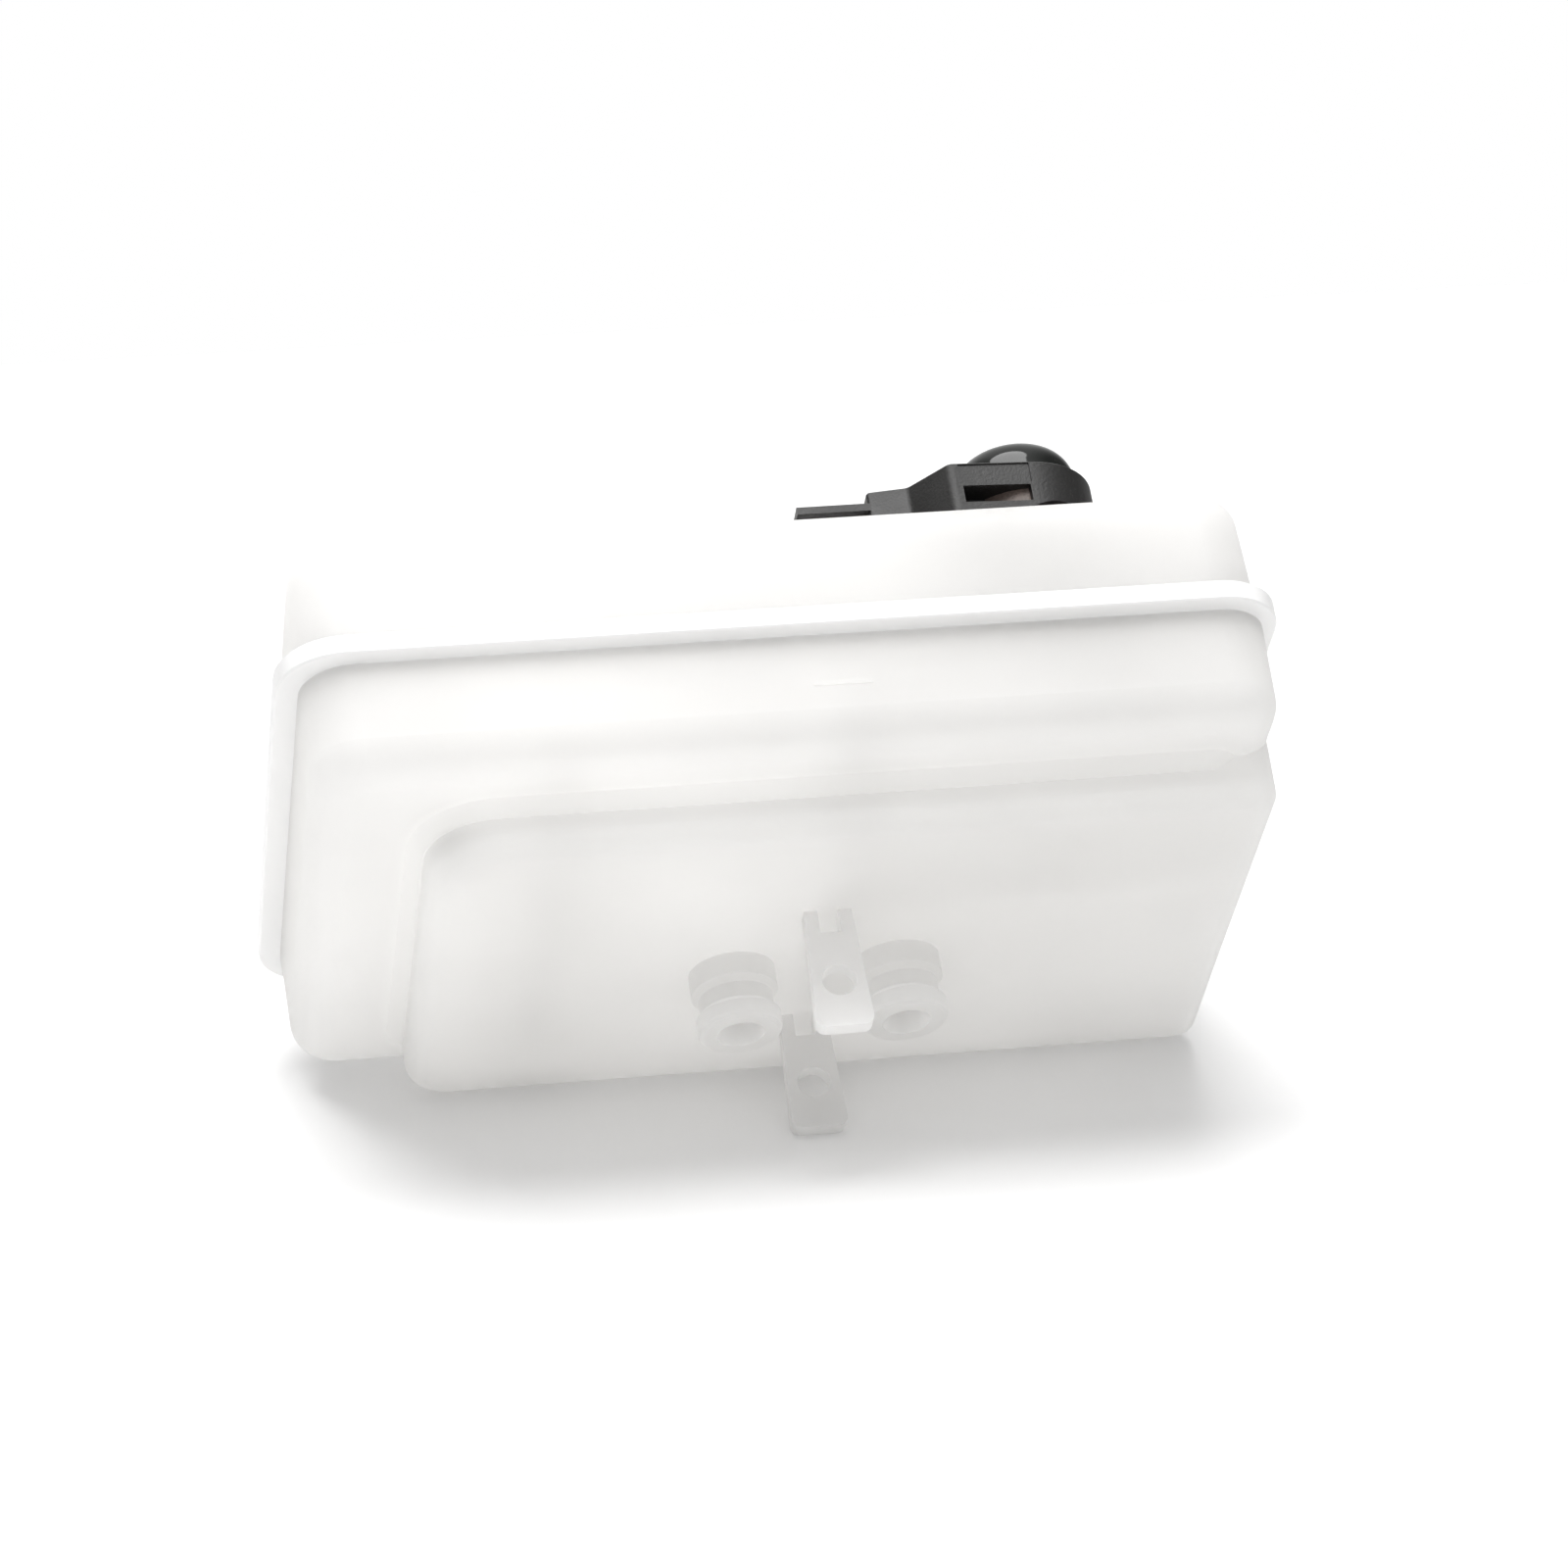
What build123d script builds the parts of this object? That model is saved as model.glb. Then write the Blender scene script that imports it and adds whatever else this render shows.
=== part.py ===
from build123d import *
import os
from math import cos, radians, sin, tan

os.makedirs("parts", exist_ok=True)

# A brake fluid reservoir: two moulded shells welded along a flange, a black filler cap with a
# level switch under it, two outlet spigots and two lugs that straddle the master cylinder.
# Origin: on the axis of the retaining pin, midway between the lugs. +X along the reservoir,
# +Y to its rear, +Z up. All sizes in millimetres.

# Heights above the retaining pin's axis
port_floor_z = 17.8
shallow_floor_z = 29.6
weld_z = 58.8
top_z = 90.0

# Weld flange, seen from above
weld_length = 223.2
weld_depth = 145.5
weld_centre_x = -9.4
weld_centre_y = -12.2
weld_corner = 15.0
rim_thickness = 2.4
rim_edge = 0.4

# Walls, with each shell's left, right, front and rear distances from the flange's edge
wall = 2.5
draft_angle = 1.5
lower_insets = (5.0, 3.0, 4.5, 3.0)
upper_insets = (4.5, 3.4, 4.5, 4.5)
shell_corner = 11.8
roll_radius = 8.5
shoulder_radius = 7.0

# Deep part of the lower shell, from the flange's left, front and rear edges
deep_from_left = 30.0
deep_from_front = 22.95
deep_from_rear = 8.75
deep_right_corner = 6.0
deep_front_left_corner = 16.0
deep_rear_left_corner = 11.0
deep_edge_radius = 5.0
crease_width = 3.2
crease_end_corner = 8.0

# Partition walls inside the lower shell
partition = 2.0
partition_top_z = 55.0
partition_root = 0.6
left_partition_x = -62.0
middle_partition_x = 1.0
float_bay_from_cap = 23.0
flow_gap_width = 9.0
flow_gap_height = 9.0

# Outlet spigots
port_pitch = 38.0
port_length = 15.8
port_bead_radius = 9.7
port_bead_land = 3.0
port_waist_radius = 8.4
port_bore_radius = 5.5
port_root_radius = 9.9
port_root_height = 5.3
port_lead_in = 1.2
port_flare = 1.3

# Lugs
lug_gap = 44.4
lug_thickness = 4.0
lug_root_width = 10.6
lug_tip_width = 13.2
lug_drop = 11.4
lug_tip_round = 2.4
pin_bore_radius = 3.85
lug_slot_width = 4.8
lug_slot_height = 5.6

# Filler neck and cap axis, from the flange's right and front edges
cap_from_right = 47.8
cap_from_front = 34.95
neck_height = 11.5
neck_radius = 13.5
neck_bore_radius = 11.3
neck_drop = 9.0
neck_pad_radius = 20.5
neck_pad_height = 0.8

# Filler cap
cap_radius = 17.3
cap_height_above_top = 17.2
cap_skirt_gap = 4.2
cap_top_thickness = 2.4
cap_edge = 0.5
facet_turn = 3.0
facet_left_x = -18.4
facet_corner_round = 2.5
nose_shoulder = (-26.8, 9.4)
nose_shoulder_round = 2.2
nose_end_x = -36.0
nose_end_round = 0.8
nose_half_width = 8.3
nose_rear_angle = 130.0
tongue_length = 16.5
tongue_thickness = 1.9
tongue_step = 3.1
socket_depth = 10.0
socket_width = 12.0
socket_height = 5.8
socket_roof = 6.0
plate_width = 16.6
plate_height = 5.2
plate_depth = 0.35
plate_centre_x = -9.0
window_width = 15.7
window_height = 4.4
window_depth = 6.0
window_below_top = 6.3
scallop_angle = 68.0
scallop_radius = 15.4
scallop_rise = 2.3

# Cap insert, dome and gasket
fit_gap = 0.1
running_gap = 0.3
insert_wall = 1.6
insert_disc = 1.5
insert_foot_radius = 17.0
insert_foot_height = 2.2
gasket_thickness = 1.8
gasket_inner_radius = 9.0
dome_radius = 14.3
dome_height = 10.1
dome_round = 7.0
dome_spigot_radius = 4.0

# Terminals
terminal_pitch = 5.0
terminal_width = 2.2
terminal_thickness = 0.8
terminal_reach = 5.4
terminal_root = 3.0

# Level switch
stem_radius = 3.5
stem_bore_radius = 2.1
stem_bottom_z = 45.0
stem_flange_radius = 6.5
stem_flange_thickness = 1.2
stem_end_wall = 2.0
reed_length = 16.0
reed_radius = 1.9
stop_radius = 5.6
stop_thickness = 1.4
stop_lift = 1.2
float_radius = 9.3
float_height = 15.0
magnet_height = 4.5
magnet_inner_radius = 4.8
magnet_outer_radius = 7.2
float_chamfer = 0.8

# Strainer
strainer_wall = 0.9
strainer_flange_radius = 12.5
strainer_flange_thickness = 1.0
strainer_bottom_z = 38.0
strainer_slots_round = 8
strainer_slot_rows = 4
strainer_slot_width = 4.4
strainer_slot_height = 8.8
strainer_slot_pitch = 11.4
strainer_first_slot_z = 46.5

# Level line on the front wall
level_line_z = 44.0
level_line_width = 13.0
level_line_height = 0.9
level_line_x = 1.0
level_line_relief = 0.2

# Values that follow
weld_left = weld_centre_x - weld_length / 2
weld_right = weld_centre_x + weld_length / 2
weld_front = weld_centre_y - weld_depth / 2
weld_rear = weld_centre_y + weld_depth / 2
cap_x = weld_right - cap_from_right
cap_y = weld_front + cap_from_front
deep_left_x = weld_left + deep_from_left
deep_front_y = weld_front + deep_from_front
deep_rear_y = weld_rear - deep_from_rear
float_bay_y = cap_y + float_bay_from_cap
lower_right = weld_right - lower_insets[1]
lower_front = weld_front + lower_insets[2]
cap_top_z = top_z + cap_height_above_top
cap_bottom_z = top_z + cap_skirt_gap
neck_top_z = top_z + neck_height
insert_inner_radius = neck_radius + running_gap
insert_outer_radius = insert_inner_radius + insert_wall
cap_ceiling_z = cap_top_z - cap_top_thickness
insert_floor_z = cap_ceiling_z - insert_disc
insert_bottom_z = cap_bottom_z - insert_foot_height
gasket_bottom_z = insert_floor_z - gasket_thickness
lug_tip_z = -lug_drop
port_end_z = port_floor_z - port_length
strainer_outer_radius = neck_bore_radius - running_gap


def shell_block(insets, skin, height, floor_round, going_up):
    """One shell's block from the weld plane: drafted walls and a rounded far edge."""
    left, right, front, rear = (inset + skin for inset in insets)
    middle_x = weld_centre_x + (left - right) / 2
    middle_y = weld_centre_y + (front - rear) / 2
    sign = 1 if going_up else -1
    with BuildPart() as block:
        with BuildSketch(Plane.XY.offset(weld_z)):
            with Locations((middle_x, middle_y)):
                RectangleRounded(
                    weld_length - left - right, weld_depth - front - rear, shell_corner - skin / 2
                )
        extrude(amount=sign * height, taper=draft_angle)
        far_face = block.faces().sort_by(Axis.Z)[-1 if going_up else 0]
        fillet(far_face.edges(), floor_round)
    return block.part


def corner_block(limits, corners, top, depth, taper):
    """Block under a height, with its own front left, rear left and right corner radii."""
    left, right, front, rear = limits
    front_left_round, rear_left_round, right_round = corners
    with BuildPart() as block:
        with BuildSketch(Plane.XY.offset(top)) as outline:
            with Locations(((left + right) / 2, (front + rear) / 2)):
                Rectangle(right - left, rear - front)
            fillet(outline.vertices().group_by(Axis.X)[0].sort_by(Axis.Y)[0], front_left_round)
            fillet(outline.vertices().group_by(Axis.X)[-1], right_round)
            fillet(outline.vertices().group_by(Axis.Y)[-1].sort_by(Axis.X)[0], rear_left_round)
        extrude(amount=-depth, taper=taper)
    return block.part


def deep_block(skin):
    """The lower shell's deep part; its right wall runs on from the tub's."""
    limits = (
        deep_left_x + skin,
        lower_right - (weld_z - deep_block_top) * tan(radians(draft_angle)) - skin,
        deep_front_y + skin,
        deep_rear_y - skin,
    )
    corners = (deep_front_left_corner - skin, deep_rear_left_corner - skin, deep_right_corner - skin)
    depth = deep_block_top - port_floor_z - skin
    with BuildPart() as block:
        add(corner_block(limits, corners, deep_block_top, depth, draft_angle))
        fillet(block.faces().sort_by(Axis.Z)[0].edges(), deep_edge_radius - skin)
    return block.part


def rim_plate(z_low, going_up):
    """The weld flange's half on one shell, with its free edge eased."""
    with BuildPart() as rim:
        with BuildSketch(Plane.XY.offset(z_low)):
            with Locations((weld_centre_x, weld_centre_y)):
                RectangleRounded(weld_length, weld_depth, weld_corner)
        extrude(amount=rim_thickness)
        far_face = rim.faces().sort_by(Axis.Z)[-1 if going_up else 0]
        chamfer(far_face.edges(), rim_edge)
    return rim.part


deep_block_top = shallow_floor_z + roll_radius
lower_depth = weld_z - shallow_floor_z
upper_height = top_z - weld_z
partition_skin = wall - partition_root

# Partition walls, trimmed to the inside of the tub and notched at the floor to let fluid pass
with BuildPart() as tub_inside:
    add(
        shell_block(
            lower_insets, partition_skin, lower_depth - partition_skin, roll_radius - wall, False
        )
    )
    add(deep_block(partition_skin))

with BuildPart() as partitions:
    partition_height = partition_top_z - port_floor_z
    partition_middle_z = (partition_top_z + port_floor_z) / 2
    flow_gap_z = port_floor_z + wall + flow_gap_height / 2
    bay_length = weld_right - middle_partition_x
    for wall_x in (left_partition_x, middle_partition_x):
        with Locations((wall_x, weld_centre_y, partition_middle_z)):
            Box(partition, weld_depth, partition_height)
    with Locations((middle_partition_x + bay_length / 2, float_bay_y, partition_middle_z)):
        Box(bay_length, partition, partition_height)
    for gap_x, gap_y in (
        (left_partition_x, deep_rear_y - 2 * flow_gap_width),
        (middle_partition_x, deep_rear_y - 2 * flow_gap_width),
        (middle_partition_x, deep_front_y + 2 * flow_gap_width),
    ):
        with Locations((gap_x, gap_y, flow_gap_z)):
            Box(2 * partition, flow_gap_width, flow_gap_height, mode=Mode.SUBTRACT)
    with Locations((lower_right - 2 * flow_gap_width, float_bay_y, flow_gap_z)):
        Box(flow_gap_width, 2 * partition, flow_gap_height, mode=Mode.SUBTRACT)
    add(tub_inside.part, mode=Mode.INTERSECT)

# One outlet spigot: wide root, waist, and a rounded bead that seals in its grommet
with BuildPart() as spigot:
    with BuildSketch(Plane.XZ):
        with BuildLine():
            easing = port_lead_in * (1 - cos(radians(45)))
            bead_foot = (port_bead_radius - port_lead_in, port_end_z)
            bead_middle = (port_bead_radius - easing, port_end_z + easing)
            bead_low = (port_bead_radius, port_end_z + port_lead_in)
            bead_high = (port_bead_radius, port_end_z + port_lead_in + port_bead_land)
            waist_low = (port_waist_radius, bead_high[1] + port_flare)
            root = (port_root_radius, port_floor_z - port_root_height)
            root_middle = (port_root_radius - port_flare / 3, root[1] - port_flare / 3)
            waist_high = (port_waist_radius, root[1] - port_flare)
            root_top = (port_root_radius, port_floor_z + wall / 2)
            Line((port_bore_radius, port_end_z), bead_foot)
            Polyline(bead_foot, bead_middle, bead_low)
            Line(bead_low, bead_high)
            Line(bead_high, waist_low)
            Line(waist_low, waist_high)
            Polyline(waist_high, root_middle, root)
            Line(root, root_top)
            Line(root_top, (port_bore_radius, root_top[1]))
            Line((port_bore_radius, root_top[1]), (port_bore_radius, port_end_z))
        make_face()
    revolve(axis=Axis.Z)

# Lower shell: shallow tub, deep part under it, flange, partitions, spigots and lugs
with BuildPart() as lower_shell:
    add(shell_block(lower_insets, 0, lower_depth, roll_radius, False))
    add(deep_block(0))
    # Thick crease where the deep part leaves the tub's underside; it runs out in the rounded edges
    crease_limits = (
        deep_left_x - crease_width,
        lower_right - roll_radius,
        deep_front_y - crease_width,
        deep_rear_y - crease_width,
    )
    crease_corners = (deep_front_left_corner + crease_width, deep_rear_left_corner, crease_end_corner)
    add(corner_block(crease_limits, crease_corners, shallow_floor_z, crease_width, 45))
    add(rim_plate(weld_z - rim_thickness, False))
    add(
        shell_block(lower_insets, wall, lower_depth - wall, roll_radius - wall, False),
        mode=Mode.SUBTRACT,
    )
    add(deep_block(wall), mode=Mode.SUBTRACT)
    add(partitions.part)
    with GridLocations(port_pitch, 1, 2, 1):
        add(spigot.part)
    with BuildSketch(Plane.XY.offset(port_end_z)):
        with GridLocations(port_pitch, 1, 2, 1):
            Circle(port_bore_radius)
    extrude(amount=port_length + 2 * wall, mode=Mode.SUBTRACT)
    for near_face in (lug_gap / 2, -lug_gap / 2 - lug_thickness):
        with BuildSketch(Plane.XZ.offset(near_face)) as lug_outline:
            with BuildLine():
                Polyline(
                    (-lug_root_width / 2, port_floor_z + wall / 2),
                    (-lug_tip_width / 2, lug_tip_z),
                    (lug_tip_width / 2, lug_tip_z),
                    (lug_root_width / 2, port_floor_z + wall / 2),
                    close=True,
                )
            make_face()
            fillet(lug_outline.vertices().group_by(Axis.Y)[0], lug_tip_round)
            Circle(pin_bore_radius, mode=Mode.SUBTRACT)
            with Locations((0, port_floor_z - lug_slot_height / 2)):
                Rectangle(lug_slot_width, lug_slot_height, mode=Mode.SUBTRACT)
        extrude(amount=lug_thickness)
    line_wall_y = lower_front + (weld_z - level_line_z) * tan(radians(draft_angle))
    with Locations((level_line_x, line_wall_y - level_line_relief + wall / 2, level_line_z)):
        Box(level_line_width, wall, level_line_height)
lower_shell.part.label = "lower_shell"
export_step(lower_shell.part, "parts/lower_shell.step")


def cap_plane(height):
    """Horizontal plane centred on the cap's axis at a height above the pin."""
    return Plane.XY.offset(height).shift_origin((cap_x, cap_y, height))


# Upper shell: lid of the tank with the filler neck, its pad and its drip collar
with BuildPart() as upper_shell:
    add(shell_block(upper_insets, 0, upper_height, shoulder_radius, True))
    add(rim_plate(weld_z, True))
    add(
        shell_block(upper_insets, wall, upper_height - wall, shoulder_radius - wall, True),
        mode=Mode.SUBTRACT,
    )
    with BuildSketch(cap_plane(top_z - wall / 2)):
        Circle(neck_pad_radius)
    extrude(amount=neck_pad_height + wall / 2)
    with BuildSketch(cap_plane(top_z - neck_drop)):
        Circle(neck_radius)
    extrude(amount=neck_drop + neck_height)
    with BuildSketch(cap_plane(top_z - neck_drop)):
        Circle(neck_bore_radius)
    extrude(amount=neck_drop + neck_height, mode=Mode.SUBTRACT)
    with BuildSketch(cap_plane(neck_top_z - strainer_flange_thickness)):
        Circle(strainer_flange_radius + fit_gap)
    extrude(amount=strainer_flange_thickness, mode=Mode.SUBTRACT)
upper_shell.part.label = "upper_shell"
export_step(upper_shell.part, "parts/upper_shell.step")

# Strainer basket that hangs in the neck by its flange
with BuildPart() as strainer:
    with BuildSketch(cap_plane(neck_top_z - strainer_flange_thickness)):
        Circle(strainer_flange_radius)
    extrude(amount=strainer_flange_thickness)
    with BuildSketch(cap_plane(strainer_bottom_z)):
        Circle(strainer_outer_radius)
    extrude(amount=neck_top_z - strainer_flange_thickness - strainer_bottom_z)
    with BuildSketch(cap_plane(strainer_bottom_z + strainer_wall)):
        Circle(strainer_outer_radius - strainer_wall)
    extrude(amount=neck_top_z - strainer_bottom_z, mode=Mode.SUBTRACT)
    for row in range(strainer_slot_rows):
        slot_z = strainer_first_slot_z + row * strainer_slot_pitch
        with Locations(cap_plane(slot_z)):
            with PolarLocations(strainer_outer_radius, strainer_slots_round):
                Box(
                    4 * strainer_wall, strainer_slot_width, strainer_slot_height,
                    mode=Mode.SUBTRACT,
                )
    with BuildSketch(cap_plane(strainer_bottom_z)):
        with PolarLocations(strainer_outer_radius / 2, strainer_slots_round // 2):
            Circle(strainer_slot_width / 2)
    extrude(amount=strainer_wall, mode=Mode.SUBTRACT)
strainer.part.label = "strainer"
export_step(strainer.part, "parts/strainer.step")

# Filler cap: skirt with a flat facet, and a nose that carries the plug socket. The facet leaves
# the round skirt at a tangent and faces slightly to the right
facet_normal = (sin(radians(facet_turn)), -cos(radians(facet_turn)))
facet_start = (cap_radius * facet_normal[0], cap_radius * facet_normal[1])
facet_slope = tan(radians(facet_turn))
facet_left_y = facet_start[1] + (facet_left_x - facet_start[0]) * facet_slope
nose_rear = (cap_radius * cos(radians(nose_rear_angle)), cap_radius * sin(radians(nose_rear_angle)))
socket_top_z = cap_top_z - socket_roof
terminal_z = socket_top_z - socket_height / 2
shoulder_x, shoulder_y = nose_shoulder
facet_plane = Plane(
    origin=(cap_x + facet_start[0], cap_y + facet_start[1], 0),
    x_dir=(-facet_normal[1], facet_normal[0], 0),
    z_dir=(facet_normal[0], facet_normal[1], 0),
)

with BuildPart() as filler_cap:
    with BuildSketch(cap_plane(cap_bottom_z)) as cap_outline:
        with BuildLine():
            Polyline(
                facet_start,
                (facet_left_x, facet_left_y),
                (shoulder_x, -shoulder_y),
                (nose_end_x, -nose_half_width),
                (nose_end_x, nose_half_width),
                (shoulder_x, shoulder_y),
                nose_rear,
            )
            ThreePointArc(nose_rear, (cap_radius, 0), facet_start)
        make_face()
        # Every rounded corner adds a vertex, so the next ones from the left move on
        fillet(cap_outline.vertices().sort_by(Axis.X)[:2], nose_end_round)
        fillet(cap_outline.vertices().sort_by(Axis.X)[4:6], nose_shoulder_round)
        fillet(cap_outline.vertices().sort_by(Axis.X)[8], facet_corner_round)
    extrude(amount=cap_top_z - cap_bottom_z)
    chamfer(filler_cap.faces().sort_by(Axis.Z)[-1].edges(), cap_edge)
    # Finger scallops in the skirt's lower edge, on both sides of the nose's axis
    for turn in (-scallop_angle, scallop_angle):
        scallop_plane = Plane(
            origin=(cap_x, cap_y, cap_bottom_z + scallop_rise - scallop_radius),
            z_dir=(cos(radians(turn)), sin(radians(turn)), 0),
        )
        with BuildSketch(scallop_plane):
            Circle(scallop_radius)
        extrude(amount=2 * cap_radius, mode=Mode.SUBTRACT)
    with BuildSketch(cap_plane(cap_bottom_z)):
        Circle(insert_outer_radius + fit_gap)
    extrude(amount=cap_ceiling_z - cap_bottom_z, mode=Mode.SUBTRACT)
    with BuildSketch(cap_plane(cap_ceiling_z)):
        Circle(dome_spigot_radius + fit_gap)
    extrude(amount=cap_top_thickness, mode=Mode.SUBTRACT)
    # Plug socket in the nose, its terminal slots, and the rail above its mouth
    with Locations((cap_x + nose_end_x + socket_depth / 2, cap_y, terminal_z)):
        Box(socket_depth, socket_width, socket_height, mode=Mode.SUBTRACT)
    with Locations((cap_x + nose_end_x + socket_depth + terminal_root / 2, cap_y, terminal_z)):
        with GridLocations(1, terminal_pitch, 1, 2):
            Box(terminal_root, terminal_width, terminal_thickness, mode=Mode.SUBTRACT)
    rail_z = cap_top_z - tongue_step - tongue_thickness / 2
    rail_root = nose_shoulder_round
    rail_length = tongue_length + rail_root
    with Locations((cap_x + nose_end_x + rail_root - rail_length / 2, cap_y, rail_z)):
        Box(rail_length, 2 * nose_half_width, tongue_thickness)
    # Label panel and window in the facet
    with BuildSketch(facet_plane):
        with Locations((plate_centre_x, cap_top_z - cap_edge - plate_height / 2)):
            Rectangle(plate_width, plate_height)
    extrude(amount=-plate_depth, mode=Mode.SUBTRACT)
    with BuildSketch(facet_plane):
        with Locations((plate_centre_x, cap_top_z - window_below_top - window_height / 2)):
            Rectangle(window_width, window_height)
    extrude(amount=-window_depth, mode=Mode.SUBTRACT)
filler_cap.part.label = "filler_cap"
export_step(filler_cap.part, "parts/filler_cap.step")

# Terminals in the socket
for side, name in ((-1, "terminal_front"), (1, "terminal_rear")):
    with BuildPart() as terminal:
        blade_length = terminal_reach + terminal_root
        blade_right = cap_x + nose_end_x + socket_depth + terminal_root
        with Locations((blade_right - blade_length / 2, cap_y + side * terminal_pitch / 2, terminal_z)):
            Box(blade_length, terminal_width, terminal_thickness)
    terminal.part.label = name
    export_step(terminal.part, f"parts/{name}.step")

# Cap insert: the ring that screws on the neck, with a foot under the cap's skirt, closed by a
# disc that carries the level switch
with BuildPart() as cap_insert:
    with BuildSketch(cap_plane(insert_bottom_z)):
        Circle(insert_foot_radius)
    extrude(amount=insert_foot_height - fit_gap)
    with BuildSketch(cap_plane(insert_bottom_z)):
        Circle(insert_outer_radius)
    extrude(amount=cap_ceiling_z - insert_bottom_z)
    with BuildSketch(cap_plane(insert_bottom_z)):
        Circle(insert_inner_radius)
    extrude(amount=insert_floor_z - insert_bottom_z, mode=Mode.SUBTRACT)
cap_insert.part.label = "cap_insert"
export_step(cap_insert.part, "parts/cap_insert.step")

# Glossy dome on top of the cap
with BuildPart() as cap_dome:
    with BuildSketch(cap_plane(cap_top_z)):
        Circle(dome_radius)
    extrude(amount=dome_height)
    fillet(cap_dome.faces().sort_by(Axis.Z)[-1].edges(), dome_round)
    with BuildSketch(cap_plane(cap_ceiling_z)):
        Circle(dome_spigot_radius)
    extrude(amount=cap_top_thickness)
cap_dome.part.label = "cap_dome"
export_step(cap_dome.part, "parts/cap_dome.step")

# Gasket between the cap insert and the neck's rim
with BuildPart() as cap_gasket:
    with BuildSketch(cap_plane(gasket_bottom_z)):
        Circle(neck_radius - fit_gap)
        Circle(gasket_inner_radius, mode=Mode.SUBTRACT)
    extrude(amount=gasket_thickness)
cap_gasket.part.label = "cap_gasket"
export_step(cap_gasket.part, "parts/cap_gasket.step")

# Level switch stem: a closed tube under the insert's disc, with the reed switch inside
with BuildPart() as sensor_stem:
    with BuildSketch(cap_plane(insert_floor_z - stem_flange_thickness)):
        Circle(stem_flange_radius)
    extrude(amount=stem_flange_thickness)
    with BuildSketch(cap_plane(stem_bottom_z)):
        Circle(stem_radius)
    extrude(amount=insert_floor_z - stem_bottom_z)
    with BuildSketch(cap_plane(stem_bottom_z + stem_end_wall)):
        Circle(stem_bore_radius)
    extrude(amount=insert_floor_z - stem_bottom_z, mode=Mode.SUBTRACT)
sensor_stem.part.label = "sensor_stem"
export_step(sensor_stem.part, "parts/sensor_stem.step")

with BuildPart() as reed_switch:
    with BuildSketch(cap_plane(stem_bottom_z + stem_end_wall)):
        Circle(reed_radius)
    extrude(amount=reed_length)
    chamfer(reed_switch.edges().filter_by(GeomType.CIRCLE), reed_radius / 3)
reed_switch.part.label = "reed_switch"
export_step(reed_switch.part, "parts/reed_switch.step")

# Clip ring that stops the float at the stem's end
stop_bottom_z = stem_bottom_z + stop_lift
with BuildPart() as float_stop:
    with BuildSketch(cap_plane(stop_bottom_z)):
        Circle(stop_radius)
        Circle(stem_radius + fit_gap / 2, mode=Mode.SUBTRACT)
    extrude(amount=stop_thickness)
float_stop.part.label = "float_stop"
export_step(float_stop.part, "parts/float_stop.step")

# Float with a pocket under it for the ring magnet
float_bottom_z = stop_bottom_z + stop_thickness
with BuildPart() as level_float:
    with BuildSketch(cap_plane(float_bottom_z)):
        Circle(float_radius)
    extrude(amount=float_height)
    chamfer(level_float.edges().filter_by(GeomType.CIRCLE), float_chamfer)
    with BuildSketch(cap_plane(float_bottom_z)):
        Circle(stem_radius + running_gap)
    extrude(amount=float_height, mode=Mode.SUBTRACT)
    with BuildSketch(cap_plane(float_bottom_z)):
        Circle(magnet_outer_radius + fit_gap)
        Circle(magnet_inner_radius - fit_gap, mode=Mode.SUBTRACT)
    extrude(amount=magnet_height, mode=Mode.SUBTRACT)
level_float.part.label = "level_float"
export_step(level_float.part, "parts/level_float.step")

with BuildPart() as float_magnet:
    with BuildSketch(cap_plane(float_bottom_z)):
        Circle(magnet_outer_radius)
        Circle(magnet_inner_radius, mode=Mode.SUBTRACT)
    extrude(amount=magnet_height)
float_magnet.part.label = "float_magnet"
export_step(float_magnet.part, "parts/float_magnet.step")
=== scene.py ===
from math import cos, pi, radians, sin

import bpy
import numpy as np
from bpy.props import FloatProperty, FloatVectorProperty, IntProperty, PointerProperty
from bpy.types import Operator, Panel, PropertyGroup
from mathutils import Matrix, Vector


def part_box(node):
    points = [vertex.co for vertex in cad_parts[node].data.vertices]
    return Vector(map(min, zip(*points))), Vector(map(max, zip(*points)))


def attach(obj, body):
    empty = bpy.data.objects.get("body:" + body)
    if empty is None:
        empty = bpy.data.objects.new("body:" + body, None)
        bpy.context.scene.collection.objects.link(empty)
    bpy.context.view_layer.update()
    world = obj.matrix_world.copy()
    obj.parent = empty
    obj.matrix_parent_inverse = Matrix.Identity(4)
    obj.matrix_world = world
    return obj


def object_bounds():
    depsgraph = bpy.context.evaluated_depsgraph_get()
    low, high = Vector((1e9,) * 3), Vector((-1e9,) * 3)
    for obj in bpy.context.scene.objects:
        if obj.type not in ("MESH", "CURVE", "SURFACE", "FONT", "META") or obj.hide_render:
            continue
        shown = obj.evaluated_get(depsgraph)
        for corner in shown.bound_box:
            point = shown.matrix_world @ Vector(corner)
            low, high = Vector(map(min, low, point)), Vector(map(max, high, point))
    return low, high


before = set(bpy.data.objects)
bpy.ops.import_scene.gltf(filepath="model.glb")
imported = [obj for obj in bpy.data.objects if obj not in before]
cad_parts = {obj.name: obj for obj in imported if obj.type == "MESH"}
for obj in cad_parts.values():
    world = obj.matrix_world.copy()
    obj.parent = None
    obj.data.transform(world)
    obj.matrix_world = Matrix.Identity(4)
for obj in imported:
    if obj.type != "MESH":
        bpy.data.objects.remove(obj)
CAD_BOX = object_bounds()

bl_info = {
    "name": "Brake Fluid Reservoir",
    "version": (1, 0, 0),
    "blender": (4, 5, 0),
    "location": "View3D > Sidebar > Reservoir",
    "description": "Finishes and small moulded details of a translucent brake fluid reservoir",
    "category": "Object",
}

# How far the neck's outside stands past the gasket's, in metres
NECK_PAST_GASKET = 0.0001

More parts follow.
